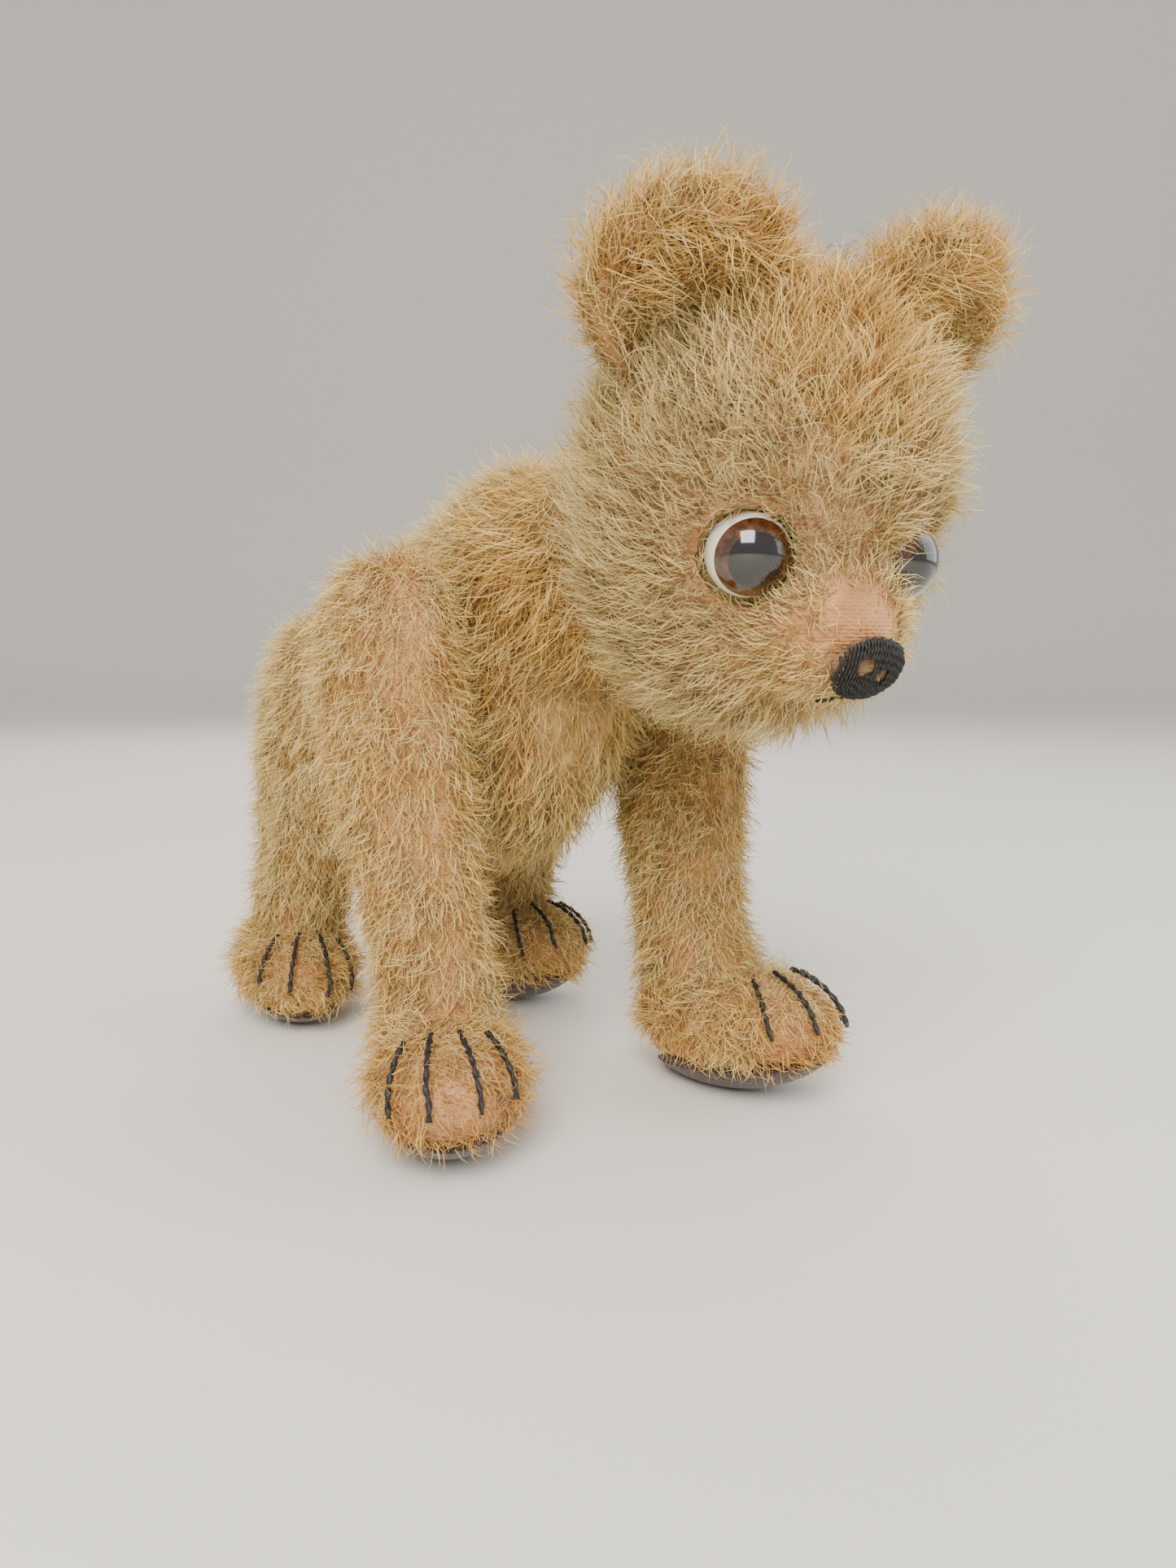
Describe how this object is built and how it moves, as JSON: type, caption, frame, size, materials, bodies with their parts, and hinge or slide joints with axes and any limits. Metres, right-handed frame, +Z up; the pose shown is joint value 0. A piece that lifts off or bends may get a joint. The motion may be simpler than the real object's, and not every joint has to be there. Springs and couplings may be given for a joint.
{
  "type": "jointed teddy bear",
  "caption": "Old jointed mohair bear cub on all fours, with a turning head, swinging legs, glass eyes, a stitched nose and felt soles.",
  "frame": {"origin": "on the ground under the middle of the bear's box", "axes": "+Z up; the bear faces -Y and its own left side is +X"},
  "size_m": [0.1002, 0.1902, 0.1616],
  "materials": {
    "mohair_plush": "long straw-blond mohair pile on a woven orange-tan cotton backing, worn thin in places",
    "sole_felt": "dense dark brown wool felt, matte",
    "black_thread": "black stranded cotton thread with a soft sheen",
    "seam_thread": "tan cotton sewing thread",
    "wood_wool": "packed wood-wool and kapok stuffing",
    "hardboard": "pressed hardboard, brown, smooth on one face",
    "steel": "plain drawn steel wire and stamped sheet, slightly dull",
    "eye_white": "opaque white glass, polished",
    "eye_amber": "brown painted glass under clear, polished",
    "eye_black": "black glass, polished"
  },
  "bodies": {
    "torso": {"torso_cover_left": "mohair_plush", "torso_cover_right": "mohair_plush", "torso_stuffing": "wood_wool", "chest_closing_stitches": "seam_thread", "torso_washers": "steel", "leg_cotter_pins": "steel", "neck_disc_torso": "hardboard", "neck_washer_torso": "steel", "neck_cotter_pin": "steel", "front_left_torso_disc": "hardboard", "front_right_torso_disc": "hardboard", "hind_left_torso_disc": "hardboard", "hind_right_torso_disc": "hardboard"},
    "front_left_leg": {"front_left_leg_cover": "mohair_plush", "front_left_leg_stuffing": "wood_wool", "front_left_paw_cover": "mohair_plush", "front_left_paw_sole": "sole_felt", "front_left_claw_threads": "black_thread", "front_left_leg_disc": "hardboard", "front_left_leg_washer": "steel"},
    "front_right_leg": {"front_right_leg_cover": "mohair_plush", "front_right_leg_stuffing": "wood_wool", "front_right_paw_cover": "mohair_plush", "front_right_paw_sole": "sole_felt", "front_right_claw_threads": "black_thread", "front_right_leg_disc": "hardboard", "front_right_leg_washer": "steel"},
    "hind_left_leg": {"hind_left_leg_cover": "mohair_plush", "hind_left_leg_stuffing": "wood_wool", "hind_left_paw_cover": "mohair_plush", "hind_left_paw_sole": "sole_felt", "hind_left_claw_threads": "black_thread", "hind_left_leg_disc": "hardboard", "hind_left_leg_washer": "steel"},
    "hind_right_leg": {"hind_right_leg_cover": "mohair_plush", "hind_right_leg_stuffing": "wood_wool", "hind_right_paw_cover": "mohair_plush", "hind_right_paw_sole": "sole_felt", "hind_right_claw_threads": "black_thread", "hind_right_leg_disc": "hardboard", "hind_right_leg_washer": "steel"},
    "head": {"neck_disc_head": "hardboard", "neck_washer_head": "steel", "head_side_left": "mohair_plush", "head_side_right": "mohair_plush", "head_gusset": "mohair_plush", "head_stuffing": "wood_wool", "ear_left": "mohair_plush", "ear_right": "mohair_plush", "nose_stitching": "black_thread", "mouth_stitch": "black_thread", "eye_white_left": "eye_white", "eye_iris_left": "eye_amber", "eye_pupil_left": "eye_black", "eye_shank_left": "steel", "eye_white_right": "eye_white", "eye_iris_right": "eye_amber", "eye_pupil_right": "eye_black", "eye_shank_right": "steel"}
  },
  "joints": [
    {"name": "front_left_shoulder", "type": "hinge", "parent": "torso", "child": "front_left_leg", "pos_m": [0.02507, -0.00377, 0.091], "axis": [-1, 0, 0], "range_deg": [-12, 36]},
    {"name": "front_right_shoulder", "type": "hinge", "parent": "torso", "child": "front_right_leg", "pos_m": [-0.02133, -0.00377, 0.091], "axis": [-1, 0, 0], "range_deg": [-12, 50]},
    {"name": "hind_left_hip", "type": "hinge", "parent": "torso", "child": "hind_left_leg", "pos_m": [0.01987, 0.04223, 0.079], "axis": [-1, 0, 0], "range_deg": [-60, 12]},
    {"name": "hind_right_hip", "type": "hinge", "parent": "torso", "child": "hind_right_leg", "pos_m": [-0.01613, 0.04223, 0.079], "axis": [-1, 0, 0], "range_deg": [-50, 24]},
    {"name": "neck_turn", "type": "hinge", "parent": "torso", "child": "head", "pos_m": [0.00587, -0.03277, 0.112], "axis": [0.2613, -0.9295, 0.2605], "continuous": true}
  ]
}
